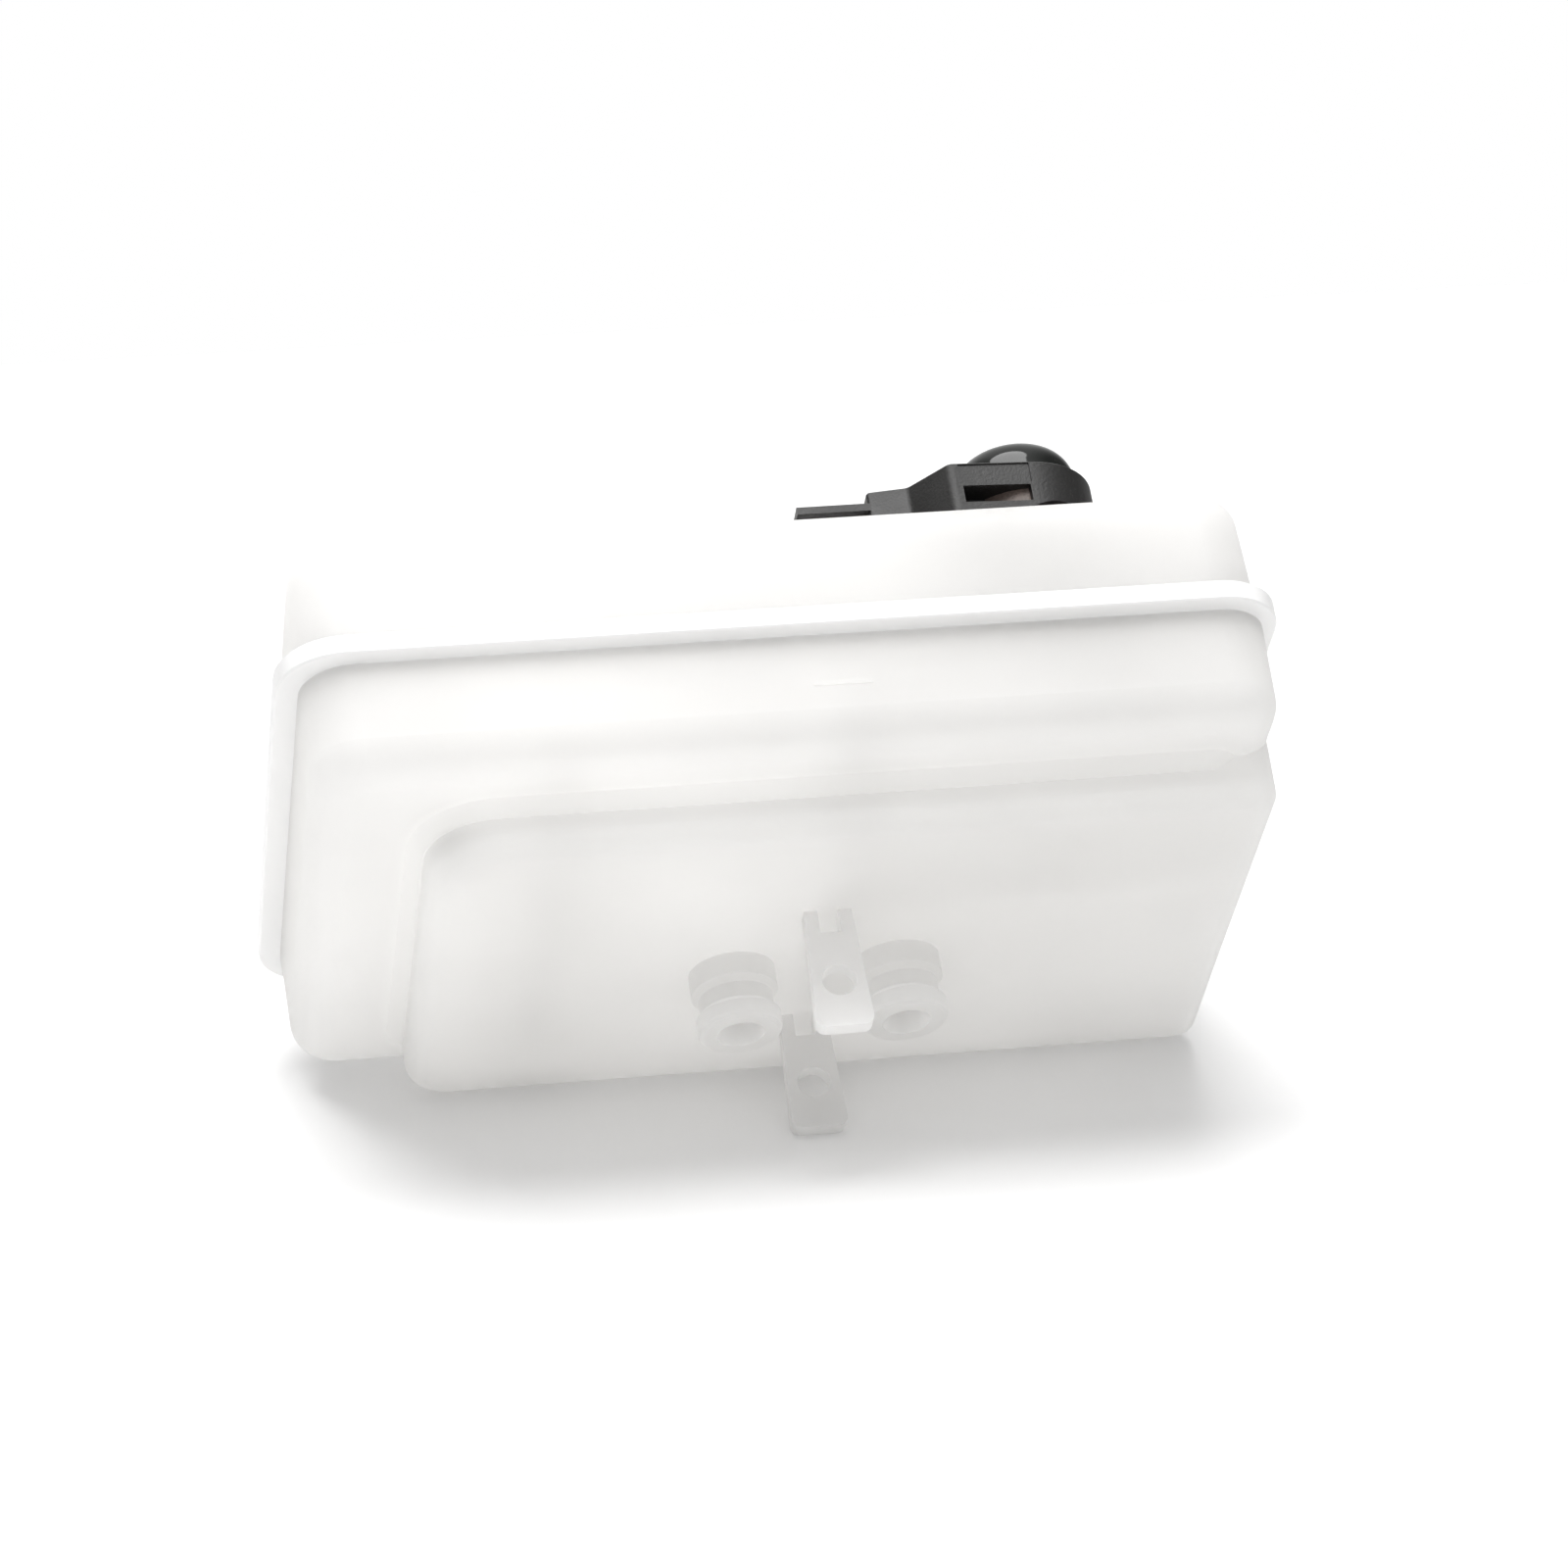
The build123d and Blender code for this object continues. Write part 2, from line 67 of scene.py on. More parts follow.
# Fades of the shells' plastic and of the shade and light painted on it, in metres: it starts to change
# at the first value and has changed at the second. Heights are measured from the retaining pin's axis.
WELD_FADE = (0.00245, 0.0028)  # distance above or below the weld
SPIGOT_FADE = (0.0165, 0.0180)  # height where the spigots end in the deep floor
LUG_FADE = (0.0075, 0.0090)  # distance to either side of the lugs' middle
FLOOR_FADE = (0.0170, 0.0185)  # height where the painted shadows of the cross walls start
BAND_TOP_FADE = (0.034, 0.050)  # height where those painted shadows die out
BAND_FADE = (0.0025, 0.0085)  # distance to either side of a cross wall
CREASE_FADE = (0.0012, 0.0040)  # distance from the middle of the crease, where light is painted
CORNER_FADE = (0.001, 0.012)  # distance from the spot of painted shade in the crease's corner


# Sizes and colours that a user would change


class ThreadSettings(PropertyGroup):
    """Coarse quick thread between the filler neck and the cap's insert."""

    starts: IntProperty(name="Starts", description="Ridges round the neck", default=3, min=1)
    rise: FloatProperty(
        name="Rise", description="Climb of one ridge from end to end", default=0.0030, unit="LENGTH"
    )
    turn: FloatProperty(
        name="Turn", description="How far one ridge reaches round the neck",
        default=radians(78), subtype="ANGLE",
    )
    width: FloatProperty(
        name="Width", description="Width of a ridge at its root", default=0.0016, unit="LENGTH"
    )
    depth: FloatProperty(
        name="Depth", description="How far a ridge stands out", default=0.00022, unit="LENGTH"
    )
    sunk: FloatProperty(
        name="Sunk", description="How far a ridge's root reaches into the neck", default=0.00015,
        unit="LENGTH",
    )
    below_rim: FloatProperty(
        name="Below rim", description="Distance from the neck's rim to the ridges' upper ends",
        default=0.0022, unit="LENGTH",
    )


class FinishSettings(PropertyGroup):
    """Colours of the reservoir's plastics, and where the shade and light painted on the shells lie."""

    # Light end of the flow marks' random tone; the crease's painted light also mixes towards it
    clear: FloatVectorProperty(
        name="Clear plastic", description="Tint of unpigmented plastic that is stretched thin",
        default=(0.9985, 0.9953, 0.990), size=3, subtype="COLOR", min=0, max=1,
    )
    # Dark end of the flow marks' random tone; the painted shade of the cross walls' shadows and of the
    # crease's corner spot also mixes towards it
    thick: FloatVectorProperty(
        name="Thick plastic", description="Tint of unpigmented plastic that is thick or doubled",
        default=(0.801, 0.7985, 0.794), size=3, subtype="COLOR", min=0, max=1,
    )
    flow: FloatVectorProperty(
        name="Flow marks", description="Least and most clearness in the flow marks, from 0 for the thick "
        "tint to 1 for the clear one", default=(0.6425, 0.8094), size=2, min=0, max=1,
    )
    passing: FloatProperty(
        name="Light passed", description="Share of the light that goes on through a wall's face",
        default=0.80, min=0, max=1, subtype="FACTOR",
    )
    passing_flange: FloatProperty(
        name="Light passed at the flange", description="The same share where the two flanges are welded",
        default=0.10, min=0, max=1, subtype="FACTOR",
    )
    passing_spigots: FloatProperty(
        name="Light passed at the spigots", description="The same share in the outlet spigots",
        default=0.96, min=0, max=1, subtype="FACTOR",
    )
    partitions: FloatVectorProperty(
        name="Partitions", description="Where the two cross walls inside the tank show through",
        default=(-0.062, 0.003), size=2, unit="LENGTH",
    )
    # Painted shade: strength of the darker bands painted where the cross walls' shadows show through
    partition_painted_shade: FloatProperty(
        name="Partition shade", description="How strongly the cross walls show through",
        default=0.07, min=0, max=1, subtype="FACTOR",
    )
    deep_middle: FloatVectorProperty(
        name="Deep part's middle", description="Middle of the deep part's outline, seen from above",
        default=(0.0035, -0.0055), size=2, unit="LENGTH",
    )
    deep_half: FloatVectorProperty(
        name="Deep part's half size", description="Half length and half depth of that outline",
        default=(0.0945, 0.0565), size=2, unit="LENGTH",
    )
    deep_corner: FloatProperty(
        name="Deep part's corner", description="Radius of that outline's corners", default=0.016,
        unit="LENGTH",
    )
    crease_height: FloatProperty(
        name="Crease height", description="Height of the crease above the deep part", default=0.0285,
        unit="LENGTH",
    )
    crease_aside: FloatProperty(
        name="Crease aside", description="How far outside that outline the crease's middle lies",
        default=0.0016, unit="LENGTH",
    )
    # Painted light: how far the crease's band is lightened towards the clear tint
    crease_painted_light: FloatProperty(
        name="Crease light", description="How clearly the crease's stretched wall shows",
        default=0.75, min=0, max=1, subtype="FACTOR",
    )
    # The thick corner is a spot of painted shade in the crease's corner; its place, drop and strength
    # follow
    corner_inset: FloatProperty(
        name="Thick corner's inset", description="How far inside that outline's sides the thick corner "
        "at the crease's end lies, as a share of the corner radius", default=0.35,
    )
    corner_drop: FloatProperty(
        name="Thick corner's drop", description="How far below the crease the thick corner lies",
        default=0.002, unit="LENGTH",
    )
    corner_painted_shade: FloatProperty(
        name="Thick corner's shade", description="How strongly the thick corner shows",
        default=0.8, min=0, max=1, subtype="FACTOR",
    )
    black: FloatVectorProperty(
        name="Cap plastic", description="Tint of the filled black cap",
        default=(0.012, 0.0116, 0.0112), size=3, subtype="COLOR", min=0, max=1,
    )
    dome: FloatVectorProperty(
        name="Dome plastic", description="Tint of the glossy dome",
        default=(0.010, 0.011, 0.010), size=3, subtype="COLOR", min=0, max=1,
    )
    insert: FloatVectorProperty(
        name="Insert plastic", description="Tint of the brownish insert",
        default=(0.125, 0.094, 0.080), size=3, subtype="COLOR", min=0, max=1,
    )
    stem: FloatVectorProperty(
        name="Stem plastic", description="Tint of the pale sensor stem and its stop",
        default=(0.62, 0.62, 0.59), size=3, subtype="COLOR", min=0, max=1,
    )


class StageSettings(PropertyGroup):
    """Camera, floor and lights. The reservoir lies tipped back on the floor, so the floor is tilted."""

    camera_place: FloatVectorProperty(
        name="Camera", description="Where the camera stands", default=(-0.2145, -1.0803, -0.5640),
        size=3, subtype="XYZ", unit="LENGTH",
    )
    azimuth: FloatProperty(
        name="Azimuth", description="Camera's turn round the part's upright axis",
        default=radians(-11.24), subtype="ANGLE",
    )
    elevation: FloatProperty(
        name="Elevation", description="Camera's angle above the part, below zero when it looks up",
        default=radians(-29.78), subtype="ANGLE",
    )
    roll: FloatProperty(
        name="Roll", description="Camera's turn about its own axis", default=radians(9.52), subtype="ANGLE"
    )
    lens: FloatProperty(name="Lens", description="Focal length in millimetres", default=126.0)
    sensor: FloatProperty(
        name="Sensor", description="Width of the camera's sensor in millimetres", default=36.0
    )
    tilt: FloatProperty(
        name="Tilt", description="How far the part is tipped back", default=radians(49.53), subtype="ANGLE"
    )
    floor_side: FloatProperty(
        name="Floor", description="Side of the square floor", default=1.5, unit="LENGTH"
    )
    paper: FloatVectorProperty(
        name="Paper", description="Tint of the floor", default=(0.9, 0.9, 0.9), size=3, subtype="COLOR",
        min=0, max=1,
    )
    surroundings: FloatProperty(name="Surroundings", description="Light from all round", default=1.0)
    sides: FloatProperty(
        name="Sides", description="Share of that light that comes from the left and right ends",
        default=0.14, min=0, max=1, subtype="FACTOR",
    )
    sides_fade: FloatVectorProperty(
        name="Sides' fade", description="Sideways part of a direction where that light starts to fall, "
        "and where it has fallen", default=(0.36, 0.75), size=2,
    )
    overhead: FloatProperty(
        name="Overhead", description="Power of the soft light above, in watts", default=13.2
    )
    lamp_size: FloatVectorProperty(
        name="Lamp size", description="Length and width of the oval light above", default=(1.0, 0.8),
        size=2, unit="LENGTH",
    )
    lamp_height: FloatProperty(
        name="Lamp height", description="How far over the part the light above stands", default=1.0,
        unit="LENGTH",
    )
    aside: FloatProperty(
        name="Aside", description="How far left of the part the light above stands", default=0.12,
        unit="LENGTH",
    )
    behind: FloatProperty(
        name="Behind", description="How far behind the part the light above stands", default=0.05,
        unit="LENGTH",
    )


# Shader maths and nodes


class Number:
    """A number in a node tree. Arithmetic on it adds Math nodes."""

    def __init__(self, finish, socket):
        self.finish = finish
        self.socket = socket

    def __add__(self, other):
        return self.finish.maths("ADD", self, other)

    def __sub__(self, other):
        return self.finish.maths("SUBTRACT", self, other)

    def __rsub__(self, other):
        return self.finish.maths("SUBTRACT", other, self)

    def __mul__(self, other):
        return self.finish.maths("MULTIPLY", self, other)

    def __abs__(self):
        return self.finish.maths("ABSOLUTE", self)

    __radd__ = __add__
    __rmul__ = __mul__


class Finish:
    """The node tree of a material or of the surroundings, and what is often built in one."""

    def __init__(self, owner):
        owner.use_nodes = True
        self.owner = owner
        self.tree = owner.node_tree
        self.tree.nodes.clear()
        self.coordinates = self.node("ShaderNodeTexCoord").outputs
        self.place = self.coordinates["Object"]

    def node(self, kind, settings=None, values=None):
        """A node of this type: its settings come first, then the values or links of its sockets."""
        made = self.tree.nodes.new(kind)
        for name, value in (settings or {}).items():
            setattr(made, name, value)
        for name, value in (values or {}).items():
            if isinstance(value, Number):
                value = value.socket
            if isinstance(value, bpy.types.NodeSocket):
                self.tree.links.new(value, made.inputs[name])
            else:
                made.inputs[name].default_value = value
        return made

    def maths(self, operation, *values):
        """What a Math node makes of these values."""
        made = self.node("ShaderNodeMath", {"operation": operation}, dict(enumerate(values)))
        return Number(self, made.outputs[0])

    def part(self, vector, axis):
        """A vector's part along X, Y or Z."""
        return Number(self, self.node("ShaderNodeSeparateXYZ", None, {"Vector": vector}).outputs[axis])

    def distance(self, place):
        """Distance from this place, in metres."""
        made = self.node("ShaderNodeVectorMath", {"operation": "DISTANCE"}, {0: self.place, 1: place})
        return Number(self, made.outputs["Value"])

    def rounded(self, across, along, middle, half, corner):
        """Distance outside (or, below zero, inside) a rounded rectangle: with q = max(|p - middle| -
        half + corner, 0) on both axes, it is the length of q less the corner's radius."""
        squares = []
        for value, centre, reach in zip((across, along), middle, half):
            beyond = self.maths("MAXIMUM", abs(value - centre) - (reach - corner), 0.0)
            squares.append(beyond * beyond)
        return self.maths("SQRT", squares[0] + squares[1]) - corner

    def noise(self, size, detail=2.0):
        """Noise from 0 to 1 whose blotches are about this size in metres."""
        values = {"Vector": self.place, "Scale": 1 / size, "Detail": detail}
        return Number(self, self.node("ShaderNodeTexNoise", None, values).outputs["Fac"])

    def span(self, value, low, high, to_low, to_high):
        """The value's range low to high carried to another range, held at its ends."""
        values = {"Value": value, "From Min": low, "From Max": high, "To Min": to_low, "To Max": to_high}
        return Number(self, self.node("ShaderNodeMapRange", None, values).outputs["Result"])

    def rising(self, value, fade):
        """0 up to the fade's first value, 1 from its second on, and even in between."""
        return self.span(value, *fade, 0.0, 1.0)

    def falling(self, value, fade):
        """1 up to the fade's first value, 0 from its second on, and even in between."""
        return self.span(value, *fade, 1.0, 0.0)

    def spread(self, noise, low, high):
        """Noise, most of which lies between 0.3 and 0.7, spread over low to high."""
        return self.span(noise, 0.3, 0.7, low, high)

    def tint(self, factor, first, second):
        """A colour between two tints. A Mix node holds colours in its inputs 6 and 7 and output 2."""
        made = self.node("ShaderNodeMix", {"data_type": "RGBA"}, {0: factor, 6: first, 7: second})
        return made.outputs[2]

    def bump(self, height, distance):
        """Normals of a surface roughened by this height, whose full range is distance in metres."""
        return self.node("ShaderNodeBump", None, {"Height": height, "Distance": distance}).outputs["Normal"]

    def skin(self, values):
        """A Principled shader with these values."""
        return self.node("ShaderNodeBsdfPrincipled", None, values).outputs["BSDF"]

    def mixed(self, factor, first, second):
        """The first shader where the factor is 0, and the second where it is 1."""
        return self.node("ShaderNodeMixShader", None, {0: factor, 1: first, 2: second}).outputs[0]

    def close(self, shader, output="ShaderNodeOutputMaterial"):
        """Ends the tree in this shader and hands its owner over."""
        self.node(output, None, {"Surface": shader})
        return self.owner


def new_finish(name):
    """A finish for a new material of this name."""
    return Finish(bpy.data.materials.new(name))


def shade(colour, factor):
    """A colour with alpha, darkened or lightened by a factor."""
    return (*(min(1.0, channel * factor) for channel in colour[:3]), 1.0)


def shell_marks(finish, tints, weld):
    """What changes over the two shells: the share of the light that passes, the painted shade of the
    cross walls' shadows and of a spot in the crease's corner, and where the crease is painted lighter."""
    length, depth, height = (finish.part(finish.place, axis) for axis in "XYZ")
    flange = finish.falling(abs(height - weld), WELD_FADE)
    spigots = finish.falling(height, SPIGOT_FADE) * finish.rising(abs(length), LUG_FADE)
    passing = (
        tints.passing + flange * (tints.passing_flange - tints.passing)
        + spigots * (tints.passing_spigots - tints.passing)
    )
    # Painted shade: soft darker bands over the cross walls stand for their shadows seen through the wall
    walls = sum(finish.falling(abs(length - wall), BAND_FADE) for wall in tints.partitions)
    bands = finish.rising(height, FLOOR_FADE) * finish.falling(height, BAND_TOP_FADE) * walls
    outline = finish.rounded(length, depth, tints.deep_middle, tints.deep_half, tints.deep_corner)
    # Painted light: a band along the crease that is lightened
    beside = finish.falling(abs(outline - tints.crease_aside), CREASE_FADE)
    crease = beside * finish.falling(abs(height - tints.crease_height), CREASE_FADE)
    # Painted shade: a dark spot in the crease's corner
    inset = tints.corner_inset * tints.deep_corner
    corner = [middle - half + inset for middle, half in zip(tints.deep_middle, tints.deep_half)]
    corner.append(tints.crease_height - tints.corner_drop)
    spot = finish.falling(finish.distance(corner), CORNER_FADE)
    shading = bands * tints.partition_painted_shade + spot * spot * tints.corner_painted_shade
    return passing, shading, crease


def natural_plastic(name, tints, roughness=0.36, weld=None):
    """Unpigmented polypropylene: a satin skin over a milky body that passes part of the light on. Its
    tint goes from the thick tint to the clear one as lightness goes from 0 to 1, in random flow marks.
    With a weld height, less light passes at the doubled flange, the cross walls' shadows are painted as
    soft darker bands, and the crease is painted lighter, with a spot of painted shade at its corner."""
    finish = new_finish(name)
    lightness = finish.spread(finish.noise(size=0.045, detail=3.0), *tints.flow)
    passing = tints.passing
    if weld is not None:
        passing, shading, crease = shell_marks(finish, tints, weld)
        # The painted shade darkens towards the thick tint; the crease's painted light lightens towards the
        # clear one
        lightness = lightness * (1 - shading)
        lightness = lightness + (1 - lightness) * crease * tints.crease_painted_light
    ends = ((*tints.thick, 1.0), (*tints.clear, 1.0))
    ripple = finish.noise(size=0.012, detail=1.0)
    relief = finish.noise(size=0.0011) * 0.35 + ripple
    satin = finish.skin({
        "Base Color": finish.tint(lightness, *ends),
        "Roughness": finish.spread(ripple, roughness - 0.04, roughness + 0.05),
        "Normal": finish.bump(relief, distance=0.00008), "IOR": 1.49,
    })
    milks = (
        finish.node("ShaderNodeBsdfTranslucent", None, {"Color": tint}).outputs["BSDF"] for tint in ends
    )
    return finish.close(finish.mixed(passing, satin, finish.mixed(lightness, *milks)))


def filled_plastic(name, colour, roughness):
    """Pigmented moulded plastic with a fine eroded grain and faint wear of its sheen."""
    finish = new_finish(name)
    patches = finish.noise(size=0.014, detail=4.0)
    grain = finish.noise(size=0.0006, detail=3.0)
    speckle = finish.rising(patches * 0.4 + grain * 0.6, (0.35, 0.65))
    return finish.close(finish.skin({
        "Base Color": finish.tint(speckle, shade(colour, 0.72), shade(colour, 1.3)),
        "Roughness": finish.spread(patches, roughness - 0.05, roughness + 0.06),
        "Normal": finish.bump(grain, distance=0.00009), "IOR": 1.5,
    }))


def gloss_plastic(name, colour):
    """Polished dark plastic: a smooth skin with a faint ripple of sink marks."""
    finish = new_finish(name)
    ripple = finish.noise(size=0.008, detail=1.0)
    return finish.close(finish.skin({
        "Base Color": shade(colour, 1.0), "Roughness": finish.spread(ripple, 0.05, 0.11),
        "Normal": finish.bump(ripple, distance=0.00003), "IOR": 1.5, "Specular IOR Level": 0.4,
    }))


def tinned_metal(name):
    """Drawn and tinned brass strip: bright, with fine scratches along its length."""
    finish = new_finish(name)
    stretch = {"Vector": finish.place, "Scale": (40.0, 1500.0, 1500.0)}
    along = finish.node("ShaderNodeMapping", None, stretch).outputs["Vector"]
    lines = finish.node("ShaderNodeTexNoise", None, {"Vector": along, "Scale": 1.0, "Detail": 3.0})
    scratches = Number(finish, lines.outputs["Fac"])
    return finish.close(finish.skin({
        "Base Color": finish.tint(scratches, (0.72, 0.68, 0.56, 1.0), (0.83, 0.80, 0.70, 1.0)),
        "Metallic": 1.0, "Roughness": finish.spread(scratches, 0.22, 0.38),
        "Normal": finish.bump(scratches, distance=0.00001),
    }))


def soft_rubber(name):
    """Black sealing rubber with the dull bloom of its surface."""
    finish = new_finish(name)
    bloom = finish.noise(size=0.004, detail=4.0)
    return finish.close(finish.skin({
        "Base Color": finish.tint(bloom, (0.018, 0.018, 0.019, 1.0), (0.040, 0.040, 0.041, 1.0)),
        "Roughness": finish.spread(bloom, 0.55, 0.75), "Normal": finish.bump(bloom, distance=0.00004),
    }))


def clear_glass(name):
    """Greenish capsule glass, drawn thin."""
    finish = new_finish(name)
    seeds = finish.noise(size=0.002)
    return finish.close(finish.skin({
        "Base Color": finish.tint(seeds, (0.62, 0.72, 0.62, 1.0), (0.70, 0.78, 0.70, 1.0)),
        "Roughness": finish.spread(seeds, 0.03, 0.08), "Transmission Weight": 0.7, "IOR": 1.5,
    }))


def blown_foam(name, cell=0.0007):
    """Dark closed-cell foam: small pits all over, a cell apart."""
    finish = new_finish(name)
    cells = finish.node(
        "ShaderNodeTexVoronoi", {"feature": "F1"}, {"Vector": finish.place, "Scale": 1 / cell}
    )
    pits = Number(finish, cells.outputs["Distance"])
    return finish.close(finish.skin({
        "Base Color": finish.tint(pits, (0.045, 0.045, 0.045, 1.0), (0.11, 0.11, 0.11, 1.0)),
        "Roughness": finish.span(pits, 0.0, 1.0, 0.8, 0.65), "Normal": finish.bump(pits, distance=0.0001),
    }))


def ferrite(name):
    """Pressed and sintered magnet ring: dark grey, grainy."""
    finish = new_finish(name)
    grain = finish.noise(size=0.0005, detail=4.0)
    return finish.close(finish.skin({
        "Base Color": finish.tint(grain, (0.05, 0.05, 0.055, 1.0), (0.12, 0.12, 0.13, 1.0)),
        "Metallic": 0.3, "Roughness": finish.spread(grain, 0.45, 0.65),
        "Normal": finish.bump(grain, distance=0.00005),
    }))


def one_sided_paper(name, colour):
    """Matt paper that is seen from above and is clear from below."""
    finish = new_finish(name)
    matt = finish.node("ShaderNodeBsdfDiffuse", None, {"Color": (*colour, 1.0)}).outputs["BSDF"]
    clear = finish.node("ShaderNodeBsdfTransparent").outputs["BSDF"]
    below = finish.node("ShaderNodeNewGeometry").outputs["Backfacing"]
    return finish.close(finish.mixed(below, matt, clear))


def soft_surroundings(name, settings):
    """White light from all round that falls off towards the left and right ends. What the camera sees
    of it is plain white, so the background is even from every side."""
    finish = Finish(bpy.data.worlds.new(name))
    sideways = abs(finish.part(finish.coordinates["Generated"], "X"))
    ends = (settings.surroundings, settings.surroundings * settings.sides)
    light = finish.span(sideways, *settings.sides_fade, *ends)
    seen = finish.node("ShaderNodeLightPath").outputs["Is Camera Ray"]
    glow = {"Color": (1.0, 1.0, 1.0, 1.0), "Strength": finish.maths("MAXIMUM", light, seen)}
    shader = finish.node("ShaderNodeBackground", None, glow).outputs["Background"]
    return finish.close(shader, output="ShaderNodeOutputWorld")


# Surfaces and their placing


def dress(node, material):
    """Gives a CAD node this material and no other."""
    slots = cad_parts[node].data.materials
    slots.clear()
    slots.append(material)


def ring_piece(name, points, body, material):
    """A closed mesh from a grid of points (rows, columns, 3): quads between neighbours, the last column
    joined to the first, and one face over each end row."""
    rows, columns = points.shape[:2]
    index = np.arange(rows * columns).reshape(rows, columns)
    ahead = np.roll(index, -1, axis=1)
    quads = np.stack([index[:-1], index[1:], ahead[1:], ahead[:-1]], axis=-1).reshape(-1, 4)
    ends = [index[0].tolist(), index[-1][::-1].tolist()]
    mesh = bpy.data.meshes.new(name)
    mesh.from_pydata(points.reshape(-1, 3).tolist(), [], quads.tolist() + ends)
    mesh.validate()
    piece = bpy.data.objects.new(name, mesh)
    bpy.context.scene.collection.objects.link(piece)
    mesh.materials.append(material)
    mesh.shade_smooth()
    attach(piece, body)


def box_middle(node):
    """Middle of a CAD node's box."""
    low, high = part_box(node)
    return (low + high) / 2


def thread_points(centre, radius, top, settings, start):
    """A ridge along a helix. Along it, u from 0 to 1, the angle is start + u * turn and the height
    top - rise * (1 - u). Its section, v from -1 to 1 over the width, stands out by depth * (1 +
    cos(pi v)) / 2 * sin(pi u) ** power, where u is held a tip away from 0 and 1, and its edges and
    back lie sunk below the radius."""
    rows, columns = 60, 9
    tip, power = 0.002, 0.35
    u = np.linspace(0, 1, rows)[:, None]
    v = np.linspace(-1, 1, columns)[None, :]
    swell = np.sin(pi * np.clip(u, tip, 1 - tip)) ** power
    out = settings.depth * swell * 0.5 * (1 + np.cos(pi * v))
    angle = np.repeat(start + u * settings.turn, columns, axis=1)
    height = top - settings.rise * (1 - u) + 0.5 * settings.width * v
    back = np.full_like(angle, radius - settings.sunk)
    front = np.where(np.abs(v) == 1, back, radius + out)
    front, back = (
        np.stack([centre.x + reach * np.cos(angle), centre.y + reach * np.sin(angle), height], axis=-1)
        for reach in (front, back)
    )
    return np.concatenate([front, back[:, ::-1]], axis=1)


# Operators


class RESERVOIR_OT_shells(Operator):
    """Finish the two welded shells and the strainer in natural plastic"""

    bl_idname = "reservoir.shells"
    bl_label = "Shells"

    def execute(self, context):
        tints = context.scene.reservoir_finish
        shell = natural_plastic("natural_plastic", tints, weld=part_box("upper_shell")[0].z)
        dress("lower_shell", shell)
        dress("upper_shell", shell)
        dress("strainer", natural_plastic("strainer_plastic", tints, roughness=0.42))
        return {"FINISHED"}


class RESERVOIR_OT_cap(Operator):
    """Finish the filler cap, its insert, dome, gasket and terminals"""

    bl_idname = "reservoir.cap"
    bl_label = "Cap"

    def execute(self, context):
        tints = context.scene.reservoir_finish
        dress("filler_cap", filled_plastic("cap_plastic", tints.black, 0.5))
        dress("cap_insert", filled_plastic("insert_plastic", tints.insert, 0.5))
        dress("cap_dome", gloss_plastic("dome_plastic", tints.dome))
        dress("cap_gasket", soft_rubber("gasket_rubber"))
        metal = tinned_metal("terminal_metal")
        dress("terminal_front", metal)
        dress("terminal_rear", metal)
        return {"FINISHED"}


class RESERVOIR_OT_level_switch(Operator):
    """Finish the level switch: stem, reed, stop, float and magnet"""

    bl_idname = "reservoir.level_switch"
    bl_label = "Level Switch"

    def execute(self, context):
        stem = filled_plastic("stem_plastic", context.scene.reservoir_finish.stem, 0.4)
        dress("sensor_stem", stem)
        dress("float_stop", stem)
        dress("reed_switch", clear_glass("reed_glass"))
        dress("level_float", blown_foam("float_foam"))
        dress("float_magnet", ferrite("magnet_ferrite"))
        return {"FINISHED"}


class RESERVOIR_OT_threads(Operator):
    """Raise the ridges of the quick thread on the filler neck"""

    bl_idname = "reservoir.threads"
    bl_label = "Neck Thread"

    def execute(self, context):
        settings = context.scene.reservoir_thread
        centre = box_middle("strainer")
        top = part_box("upper_shell")[1].z - settings.below_rim
        low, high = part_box("cap_gasket")
        radius = (high.x - low.x) / 2 + NECK_PAST_GASKET
        material = natural_plastic("thread_plastic", context.scene.reservoir_finish)
        for number in range(settings.starts):
            start = 2 * pi * number / settings.starts
            points = thread_points(centre, radius, top, settings, start)
            ring_piece(f"neck_thread_{number + 1}", points, "tank", material)
        return {"FINISHED"}


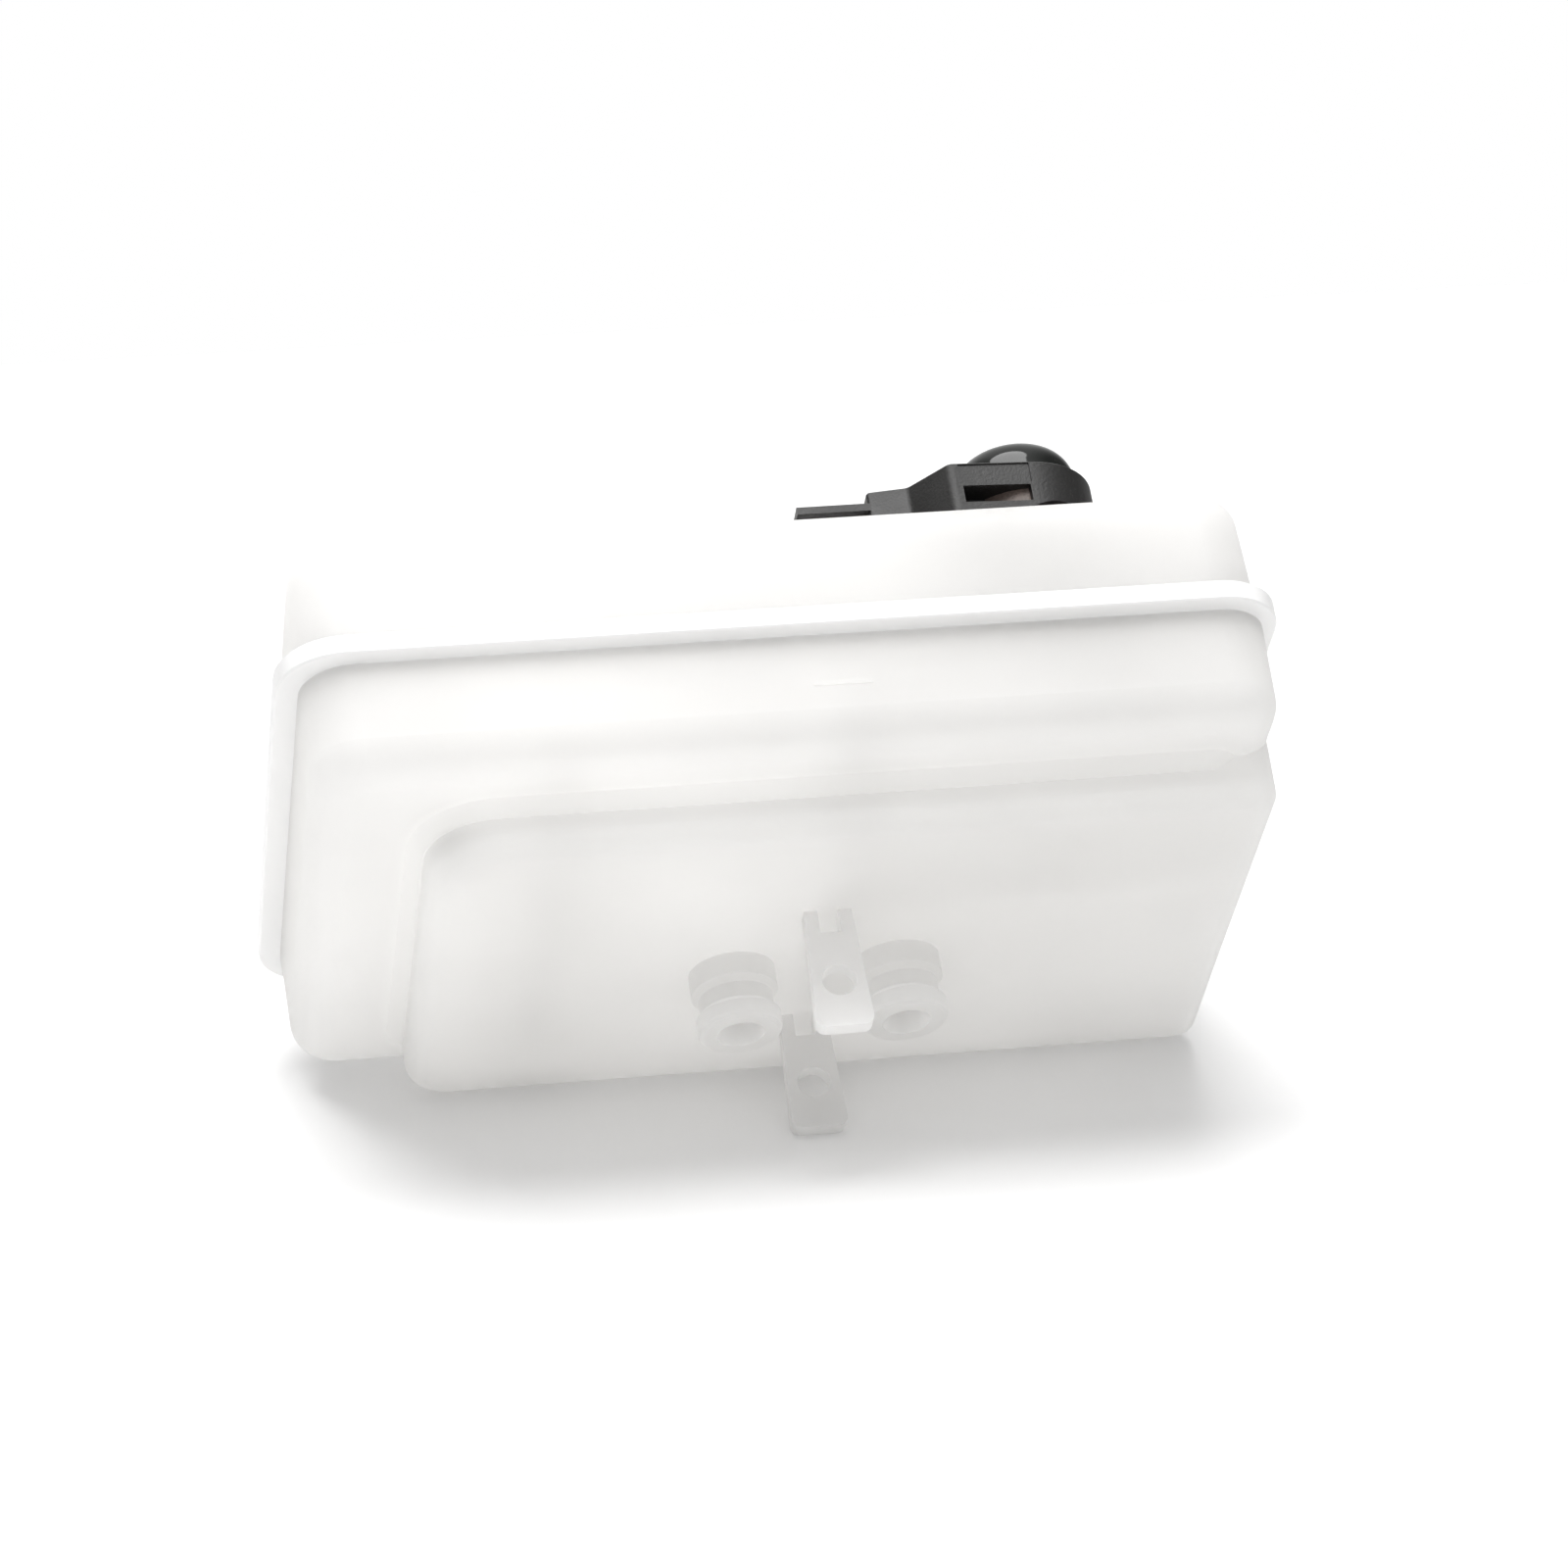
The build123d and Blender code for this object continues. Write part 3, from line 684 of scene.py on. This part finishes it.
class RESERVOIR_OT_stage(Operator):
    """Set the camera, the tilted floor and the soft lights"""

    bl_idname = "reservoir.stage"
    bl_label = "Stage"

    def execute(self, context):
        scene = context.scene
        settings = scene.reservoir_stage
        tipped = Matrix.Rotation(settings.tilt, 4, "X")
        axes = tipped.to_3x3().transposed()
        self.add_camera(scene, settings)
        self.add_floor(scene, settings, *axes)
        self.add_lamp(scene, settings, tipped, *axes)
        scene.world = soft_surroundings("surroundings", settings)
        scene.view_settings.view_transform = "Standard"
        scene.view_settings.look = "None"
        return {"FINISHED"}

    def add_camera(self, scene, settings):
        """The camera looks along its azimuth and elevation and is rolled about that direction."""
        azimuth, elevation = settings.azimuth, settings.elevation
        forward = Vector((-sin(azimuth) * cos(elevation), cos(azimuth) * cos(elevation), -sin(elevation)))
        level = forward.cross(Vector((0, 0, 1))).normalized()
        upright = level.cross(forward)
        right = level * cos(settings.roll) - upright * sin(settings.roll)
        turn = Matrix((right, right.cross(forward), -forward)).transposed()
        camera = bpy.data.objects.new("camera", bpy.data.cameras.new("camera"))
        camera.data.lens = settings.lens
        camera.data.sensor_width = settings.sensor
        camera.data.clip_start, camera.data.clip_end = 0.05, 20.0
        camera.matrix_world = Matrix.Translation(settings.camera_place) @ turn.to_4x4()
        scene.collection.objects.link(camera)
        scene.camera = camera

    def add_floor(self, scene, settings, across, along, normal):
        """A square sheet of paper that touches the lowest point of the tipped lower shell."""
        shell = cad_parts["lower_shell"].data
        corners = np.empty(len(shell.vertices) * 3)
        shell.vertices.foreach_get("co", corners)
        foot = normal * float((corners.reshape(-1, 3) @ np.array(normal)).min())
        half = settings.floor_side / 2
        square = ((-half, -half), (half, -half), (half, half), (-half, half))
        floor = bpy.data.meshes.new("floor")
        floor.from_pydata([foot + across * x + along * y for x, y in square], [], [(0, 1, 2, 3)])
        floor.materials.append(one_sided_paper("floor_paper", settings.paper))
        ground = bpy.data.objects.new("floor", floor)
        scene.collection.objects.link(ground)

    def add_lamp(self, scene, settings, tipped, across, along, normal):
        """An oval lamp over the part that shines straight down on the floor."""
        lamp = bpy.data.lights.new("overhead", "AREA")
        lamp.shape = "ELLIPSE"
        lamp.size, lamp.size_y = settings.lamp_size
        lamp.energy = settings.overhead
        above = bpy.data.objects.new("overhead", lamp)
        low, high = CAD_BOX
        place = (low + high) / 2 + normal * settings.lamp_height
        place = place - across * settings.aside + along * settings.behind
        above.matrix_world = Matrix.Translation(place) @ tipped
        scene.collection.objects.link(above)


class RESERVOIR_PT_parts(Panel):
    """Lists the reservoir's makers and their settings"""

    bl_label = "Reservoir"
    bl_idname = "RESERVOIR_PT_parts"
    bl_space_type = "VIEW_3D"
    bl_region_type = "UI"
    bl_category = "Reservoir"

    def draw(self, context):
        for maker in MAKERS:
            self.layout.operator(maker.bl_idname)
        for group, kind in GROUPS.items():
            box = self.layout.box()
            for name in kind.__annotations__:
                box.prop(getattr(context.scene, group), name)


MAKERS = (
    RESERVOIR_OT_stage, RESERVOIR_OT_shells, RESERVOIR_OT_cap, RESERVOIR_OT_level_switch,
    RESERVOIR_OT_threads,
)
GROUPS = {
    "reservoir_thread": ThreadSettings,
    "reservoir_finish": FinishSettings,
    "reservoir_stage": StageSettings,
}
CLASSES = (*GROUPS.values(), *MAKERS, RESERVOIR_PT_parts)


def register():
    for kind in CLASSES:
        bpy.utils.register_class(kind)
    for name, group in GROUPS.items():
        setattr(bpy.types.Scene, name, PointerProperty(type=group))


def unregister():
    for name in GROUPS:
        delattr(bpy.types.Scene, name)
    for kind in reversed(CLASSES):
        bpy.utils.unregister_class(kind)


def main():
    """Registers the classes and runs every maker."""
    register()
    for maker in MAKERS:
        group, name = maker.bl_idname.split(".")
        getattr(getattr(bpy.ops, group), name)()


if __name__ == "__main__":
    main()
